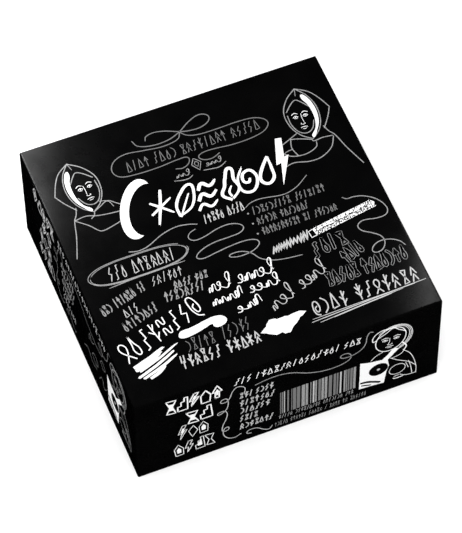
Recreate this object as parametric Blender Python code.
"""Rigid box of compressed charcoal sticks: a telescoping lid over a base that holds two foam tiers.

Units are metres, +Z is up, and the origin is the middle of the box's footprint, on the surface it
stands on. Paper and board layers are separate solids with a paste line between them.
"""

import math

import bmesh
import bpy

MM = 0.001

# Outside of the closed box.
WIDTH = 100.0 * MM
DEPTH = 100.0 * MM
HEIGHT = 41.5 * MM
CORNER_RADIUS = 0.7 * MM  # the upright corners
EDGE_RADIUS = 1.0 * MM  # the edges of the top
SMALLEST_RADIUS = 0.2 * MM
CORNER_STEPS = 3
EDGE_STEPS = 4

# Layers of a wall, from the outside in.
PAPER = 0.2 * MM
STAY_SPACE = 0.45 * MM  # between the wrap and the board, where the corner stays lie
STAY = 0.15 * MM
BOARD = 1.2 * MM
PASTE = 0.15 * MM
LINING = 0.3 * MM

# Heights of the lid and the base.
LID_RIM = 0.5 * MM  # the lid stops just clear of the table
LID_TURN_IN = 15.0 * MM
LINING_RIM = 1.5 * MM
SLIDING_GAP = 0.4 * MM  # between the lid's lining and the base, on each side
TOP_GAP = 0.3 * MM  # between the lid's lining and the base's rim
BASE_TURN_IN = 20.0 * MM
BASE_TURN_UNDER = 12.0 * MM
UNDERLAY = 0.25 * MM
UNDERLAY_MARGIN = 2.5 * MM
STAY_LEG = 12.0 * MM

# Contents.
REST_GAP = 0.3 * MM  # between loose pieces that touch
FOAM_SIDE_GAP = 0.25 * MM
SLAB = 5.0 * MM
COMB = 10.5 * MM
TOP_PAD = 3.0 * MM
STICK_LENGTH = 80.0 * MM
STICK_SECTION = 10.0 * MM
STICK_BEVEL = 0.5 * MM
STICKS_PER_TIER = 6
STICK_PITCH = 12.5 * MM
FINGER_CHANNEL = 24.0 * MM  # between the two combs, and the width of the finger notches
NOTCH_DEPTH = 7.6 * MM
NOTCH_RADIUS = 1.5 * MM
PAD_RADIUS = 2.0 * MM

# Worked out from the above.
LID_WALL_TO_BOARD = PAPER + STAY_SPACE
LID_WALL_TO_TURN_IN = LID_WALL_TO_BOARD + BOARD + PASTE
LID_WALL_TO_LINING = LID_WALL_TO_TURN_IN + PAPER + PASTE
LID_WALL = LID_WALL_TO_LINING + LINING
LID_CEILING = HEIGHT - LID_WALL_TO_BOARD - BOARD - PASTE - LINING
BASE_INSET = LID_WALL + SLIDING_GAP
BASE_RIM = LID_CEILING - TOP_GAP
BASE_WALL = PAPER + STAY_SPACE + BOARD + PASTE + PAPER
BASE_WRAP_BOTTOM = UNDERLAY + PASTE
BASE_BOARD_BOTTOM = BASE_WRAP_BOTTOM + PAPER + PASTE
BASE_FLOOR = BASE_BOARD_BOTTOM + BOARD
FOAM_INSET = BASE_INSET + BASE_WALL + FOAM_SIDE_GAP
LOWER_SLAB_Z = BASE_FLOOR + PASTE
LOWER_COMB_Z = LOWER_SLAB_Z + SLAB + PASTE
TRAY_BOARD_Z = LOWER_COMB_Z + COMB + REST_GAP
UPPER_SLAB_Z = TRAY_BOARD_Z + BOARD + PASTE
UPPER_COMB_Z = UPPER_SLAB_Z + SLAB + PASTE
TOP_PAD_Z = UPPER_COMB_Z + COMB + REST_GAP
GROOVE_WIDTH = STICK_SECTION + 2 * REST_GAP
GROOVE_LENGTH = STICK_LENGTH + 2 * REST_GAP

# Colour, roughness and metallic value of each material.
FINISHES = {
    "printed_paper": ((0.006, 0.006, 0.007), 0.38, 0.0),
    "black_paper": ((0.012, 0.012, 0.013), 0.55, 0.0),
    "grey_board": ((0.30, 0.28, 0.25), 0.90, 0.0),
    "kraft_tape": ((0.46, 0.32, 0.18), 0.75, 0.0),
    "grey_foam": ((0.09, 0.09, 0.095), 0.95, 0.0),
    "white_foam": ((0.80, 0.80, 0.78), 0.80, 0.0),
    "compressed_charcoal": ((0.018, 0.017, 0.017), 0.85, 0.0),
}


def clear_scene():
    for old in list(bpy.data.objects):
        bpy.data.objects.remove(old)


def material(name):
    found = bpy.data.materials.get(name)
    if found:
        return found
    colour, roughness, metallic = FINISHES[name]
    made = bpy.data.materials.new(name)
    made.use_nodes = True
    shader = made.node_tree.nodes["Principled BSDF"]
    shader.inputs["Base Color"].default_value = (*colour, 1.0)
    shader.inputs["Roughness"].default_value = roughness
    shader.inputs["Metallic"].default_value = metallic
    made.diffuse_color = (*colour, 1.0)
    return made


def body_empty(name, location=(0, 0, 0), parent=None):
    """An empty at a moving body's joint, which the body's pieces are parented to."""
    made = bpy.data.objects.new(name, None)
    bpy.context.scene.collection.objects.link(made)
    made.parent = parent
    made.location = location
    return made


def piece(name, mesh, finish, body, location=(0, 0, 0)):
    """One named sub-part, placed under its body."""
    made = bpy.data.objects.new(name, mesh)
    mesh.materials.clear()
    mesh.materials.append(material(finish))
    bpy.context.scene.collection.objects.link(made)
    made.parent = body
    made.location = location
    return made


def finish_mesh(name, bm):
    bmesh.ops.recalc_face_normals(bm, faces=bm.faces)
    mesh = bpy.data.meshes.new(name)
    bm.to_mesh(mesh)
    bm.free()
    mesh.shade_smooth()
    mesh.set_sharp_from_angle(angle=math.radians(35))
    return mesh


def ring(inset, z):
    """The outline of the closed box, moved in by inset, at height z: a rectangle with round corners."""
    radius = max(CORNER_RADIUS - inset, SMALLEST_RADIUS)
    return rounded_rectangle(WIDTH / 2 - inset, DEPTH / 2 - inset, radius, z)


def rounded_rectangle(half_x, half_y, radius, z):
    points = []
    quarter = math.pi / 2
    for corner, (sign_x, sign_y) in enumerate(((1, 1), (-1, 1), (-1, -1), (1, -1))):
        centre_x = sign_x * (half_x - radius)
        centre_y = sign_y * (half_y - radius)
        for step in range(CORNER_STEPS + 1):
            angle = quarter * (corner + step / CORNER_STEPS)
            points.append(
                (centre_x + radius * math.cos(angle), centre_y + radius * math.sin(angle), z)
            )
    return points


def skin(name, rings, endless=False):
    """A closed mesh through the rings: capped at both ends, or joined end to end if endless."""
    bm = bmesh.new()
    loops = [[bm.verts.new(point) for point in points] for points in rings]
    following = loops[1:] + (loops[:1] if endless else [])
    for here, there in zip(loops, following):
        count = len(here)
        for i in range(count):
            j = (i + 1) % count
            bm.faces.new((here[i], here[j], there[j], there[i]))
    if not endless:
        bm.faces.new(loops[0])
        bm.faces.new(loops[-1])
    return finish_mesh(name, bm)


def top_edge(inset, top, radius):
    """Rings round the top edge of the box, from its flat top down to its upright wall."""
    rings = []
    for step in range(EDGE_STEPS + 1):
        angle = math.pi / 2 * (1 - step / EDGE_STEPS)
        rings.append(
            ring(inset + radius * (1 - math.cos(angle)), top - radius * (1 - math.sin(angle)))
        )
    return rings


def bottom_edge(inset, bottom, radius):
    """The same round the bottom edge, from the flat underside up to the wall."""
    rings = []
    for step in range(EDGE_STEPS + 1):
        angle = math.pi / 2 * (1 - step / EDGE_STEPS)
        rings.append(
            ring(inset + radius * (1 - math.cos(angle)), bottom + radius * (1 - math.sin(angle)))
        )
    return rings


def prism(name, outline, z_low, z_high):
    """An upright solid of any flat outline, counter-clockwise seen from above."""
    bm = bmesh.new()
    low = [bm.verts.new((x, y, z_low)) for x, y in outline]
    high = [bm.verts.new((x, y, z_high)) for x, y in outline]
    count = len(outline)
    for i in range(count):
        j = (i + 1) % count
        bm.faces.new((low[i], low[j], high[j], high[i]))
    bm.faces.new(low[::-1])
    bm.faces.new(high)
    return finish_mesh(name, bm)


def lid_wrap():
    """Printed paper over the top and walls, turned round the rim and up the inside."""
    inner_edge_radius = EDGE_RADIUS - PAPER
    rings = top_edge(0, HEIGHT, EDGE_RADIUS)
    rings.append(ring(0, LID_RIM))
    rings.append(ring(LID_WALL_TO_TURN_IN + PAPER, LID_RIM))
    rings.append(ring(LID_WALL_TO_TURN_IN + PAPER, LID_RIM + LID_TURN_IN))
    rings.append(ring(LID_WALL_TO_TURN_IN, LID_RIM + LID_TURN_IN))
    rings.append(ring(LID_WALL_TO_TURN_IN, LID_RIM + PAPER))
    rings.append(ring(PAPER, LID_RIM + PAPER))
    rings.extend(reversed(top_edge(PAPER, HEIGHT - PAPER, inner_edge_radius)))
    return skin("lid_wrap", rings)


def lid_board():
    """The grey-board cap under the wrap."""
    outer = LID_WALL_TO_BOARD
    inner = outer + BOARD
    rim = LID_RIM + PAPER + PASTE
    rings = top_edge(outer, HEIGHT - outer, EDGE_RADIUS - outer)
    rings.append(ring(outer, rim))
    rings.append(ring(inner, rim))
    rings.append(ring(inner, HEIGHT - inner))
    return skin("lid_board", rings)


def lid_lining():
    """Black card inside the lid, over the turned-in paper."""
    ceiling = LID_CEILING + LINING
    rings = [
        ring(LID_WALL_TO_LINING, ceiling),
        ring(LID_WALL_TO_LINING, LINING_RIM),
        ring(LID_WALL, LINING_RIM),
        ring(LID_WALL, LID_CEILING),
    ]
    return skin("lid_lining", rings)


def base_wrap():
    """Black paper on the base's walls, turned in over the rim and under the bottom edge."""
    outer = BASE_INSET
    board_side = outer + PAPER
    turn_in = outer + BASE_WALL
    turn_in_end = BASE_RIM - BASE_TURN_IN
    edge = EDGE_RADIUS - PAPER
    rings = bottom_edge(outer, BASE_WRAP_BOTTOM, edge)
    rings.append(ring(outer, BASE_RIM))
    rings.append(ring(turn_in, BASE_RIM))
    rings.append(ring(turn_in, turn_in_end))
    rings.append(ring(turn_in - PAPER, turn_in_end))
    rings.append(ring(turn_in - PAPER, BASE_RIM - PAPER))
    rings.append(ring(board_side, BASE_RIM - PAPER))
    rings.extend(reversed(bottom_edge(board_side, BASE_WRAP_BOTTOM + PAPER, edge - PAPER)))
    rings.append(ring(outer + BASE_TURN_UNDER, BASE_WRAP_BOTTOM + PAPER))
    rings.append(ring(outer + BASE_TURN_UNDER, BASE_WRAP_BOTTOM))
    return skin("base_wrap", rings, endless=True)


def base_board():
    """The grey-board tray under the base's wrap."""
    outer = BASE_INSET + PAPER + STAY_SPACE
    inner = outer + BOARD
    rim = BASE_RIM - PAPER - PASTE
    rings = bottom_edge(outer, BASE_BOARD_BOTTOM, EDGE_RADIUS - PAPER - STAY_SPACE)
    rings.append(ring(outer, rim))
    rings.append(ring(inner, rim))
    rings.append(ring(inner, BASE_FLOOR))
    return skin("base_board", rings)


def base_underlay():
    """The sheet pasted under the base, which the box stands on."""
    inset = BASE_INSET + UNDERLAY_MARGIN
    return skin("base_underlay", [ring(inset, 0), ring(inset, UNDERLAY)])


def corner_stay(name, wrap_inset, z_low, z_high):
    """One paper tape folded round the board's front right corner."""
    outer = wrap_inset + PAPER + PASTE
    inner = outer + STAY
    outer_radius = max(CORNER_RADIUS - outer, SMALLEST_RADIUS + STAY)
    outline = []
    for inset, radius, order in ((outer, outer_radius, 1), (inner, outer_radius - STAY, -1)):
        edge = WIDTH / 2 - inset
        centre = edge - radius
        leg_end = WIDTH / 2 - outer - STAY_LEG
        bend = []
        for step in range(CORNER_STEPS + 1):
            angle = -math.pi / 2 + math.pi / 2 * step / CORNER_STEPS
            bend.append((centre + radius * math.cos(angle), -centre + radius * math.sin(angle)))
        side = [(leg_end, -edge)] + bend + [(edge, -leg_end)]
        outline.extend(side[::order])
    return prism(name, outline, z_low, z_high)


def add_corner_stays(prefix, wrap_inset, z_low, z_high, body):
    """The same tape at all four corners, turned about the box's middle."""
    mesh = corner_stay(prefix, wrap_inset, z_low, z_high)
    for number in range(4):
        made = piece(f"{prefix}_{number + 1}", mesh, "kraft_tape", body)
        made.rotation_euler = (0, 0, number * math.pi / 2)


def foam_comb(name, z_low):
    """Half a die-cut foam layer: a bar along the back wall with a tooth on each side of every groove."""
    half_x = WIDTH / 2 - FOAM_INSET
    back = DEPTH / 2 - FOAM_INSET
    front = FINGER_CHANNEL / 2
    groove_end = GROOVE_LENGTH / 2
    outline = [(half_x, front), (half_x, back), (-half_x, back), (-half_x, front)]
    for number in range(STICKS_PER_TIER):
        middle = stick_x(number)
        left = middle - GROOVE_WIDTH / 2
        right = middle + GROOVE_WIDTH / 2
        outline.extend([(left, front), (left, groove_end), (right, groove_end), (right, front)])
    return prism(name, outline, z_low, z_low + COMB)


def finger_notch():
    """The right-hand finger notch of the lift-out tray, from its front corner to its back one."""
    half = WIDTH / 2 - FOAM_INSET
    reach = FINGER_CHANNEL / 2
    centre_x = half - NOTCH_DEPTH + NOTCH_RADIUS
    points = [(half, -reach)]
    for side in (-1, 1):
        for step in range(CORNER_STEPS + 1):
            angle = math.pi / 2 * (step if side < 0 else CORNER_STEPS - step) / CORNER_STEPS
            across = centre_x - NOTCH_RADIUS * math.sin(angle)
            along = side * (reach - NOTCH_RADIUS + NOTCH_RADIUS * math.cos(angle))
            points.append((across, along))
    points.append((half, reach))
    return points


def tray_sheet(name, z_low, thickness):
    """A square sheet of the lift-out tray, with a finger notch in its left and right edges."""
    half = WIDTH / 2 - FOAM_INSET
    right_side = [(half, -half)] + finger_notch() + [(half, half)]
    left_side = [(-x, -y) for x, y in right_side]
    return prism(name, right_side + left_side, z_low, z_low + thickness)


def stick_x(number):
    """The middle of a tier's stick, counted from the left."""
    return (number - (STICKS_PER_TIER - 1) / 2) * STICK_PITCH


def stick_mesh():
    """A pressed square stick, lying along Y, centred on its own origin."""
    bm = bmesh.new()
    bmesh.ops.create_cube(bm, size=1)
    bmesh.ops.scale(bm, vec=(STICK_SECTION, STICK_LENGTH, STICK_SECTION), verts=bm.verts)
    bmesh.ops.bevel(
        bm,
        geom=bm.edges[:],
        offset=STICK_BEVEL,
        segments=2,
        profile=0.5,
        affect="EDGES",
    )
    return finish_mesh("charcoal_stick", bm)


def top_pad():
    inset = FOAM_INSET + REST_GAP
    half = WIDTH / 2 - inset
    rings = [
        rounded_rectangle(half, half, PAD_RADIUS, TOP_PAD_Z),
        rounded_rectangle(half, half, PAD_RADIUS, TOP_PAD_Z + TOP_PAD),
    ]
    return skin("top_pad", rings)


def add_combs(tier, comb_z, body):
    """The front and back halves of a tier's die-cut foam, which are the same piece turned round."""
    comb = foam_comb(f"{tier}_foam_comb", comb_z)
    piece(f"{tier}_foam_comb_back", comb, "grey_foam", body)
    front = piece(f"{tier}_foam_comb_front", comb, "grey_foam", body)
    front.rotation_euler = (0, 0, math.pi)


def add_sticks(tier, slab_z, parent, shared_mesh):
    """A tier's sticks, each on an empty of its own, since each lifts out by itself."""
    middle_z = slab_z + SLAB + REST_GAP + STICK_SECTION / 2
    for number in range(STICKS_PER_TIER):
        place = (stick_x(number), 0, middle_z)
        axis = body_empty(f"{tier}_stick_{number + 1}_axis", place, parent)
        piece(f"{tier}_stick_{number + 1}", shared_mesh, "compressed_charcoal", axis)


def build_lid():
    body = body_empty("lid_axis")
    piece("lid_wrap", lid_wrap(), "printed_paper", body)
    piece("lid_board", lid_board(), "grey_board", body)
    piece("lid_lining", lid_lining(), "black_paper", body)
    low = LID_RIM + PAPER + PASTE
    high = HEIGHT - EDGE_RADIUS
    add_corner_stays("lid_corner_stay", 0, low, high, body)


def build_base():
    body = body_empty("base_axis")
    piece("base_wrap", base_wrap(), "black_paper", body)
    piece("base_board", base_board(), "grey_board", body)
    piece("base_underlay", base_underlay(), "black_paper", body)
    low = BASE_WRAP_BOTTOM + EDGE_RADIUS
    high = BASE_RIM - PAPER - PASTE
    add_corner_stays("base_corner_stay", BASE_INSET, low, high, body)
    foam_floor = [ring(FOAM_INSET, LOWER_SLAB_Z), ring(FOAM_INSET, LOWER_SLAB_Z + SLAB)]
    slab = skin("lower_foam_slab", foam_floor)
    piece("lower_foam_slab", slab, "grey_foam", body)
    add_combs("lower", LOWER_COMB_Z, body)
    return body


def build_tray():
    body = body_empty("tray_axis")
    board = tray_sheet("tray_board", TRAY_BOARD_Z, BOARD)
    piece("tray_board", board, "black_paper", body)
    slab = tray_sheet("upper_foam_slab", UPPER_SLAB_Z, SLAB)
    piece("upper_foam_slab", slab, "grey_foam", body)
    add_combs("upper", UPPER_COMB_Z, body)
    return body


def main():
    clear_scene()
    build_lid()
    base = build_base()
    tray = build_tray()
    mesh = stick_mesh()
    add_sticks("lower", LOWER_SLAB_Z, base, mesh)
    add_sticks("upper", UPPER_SLAB_Z, tray, mesh)
    piece("top_pad", top_pad(), "white_foam", body_empty("pad_axis"))


main()
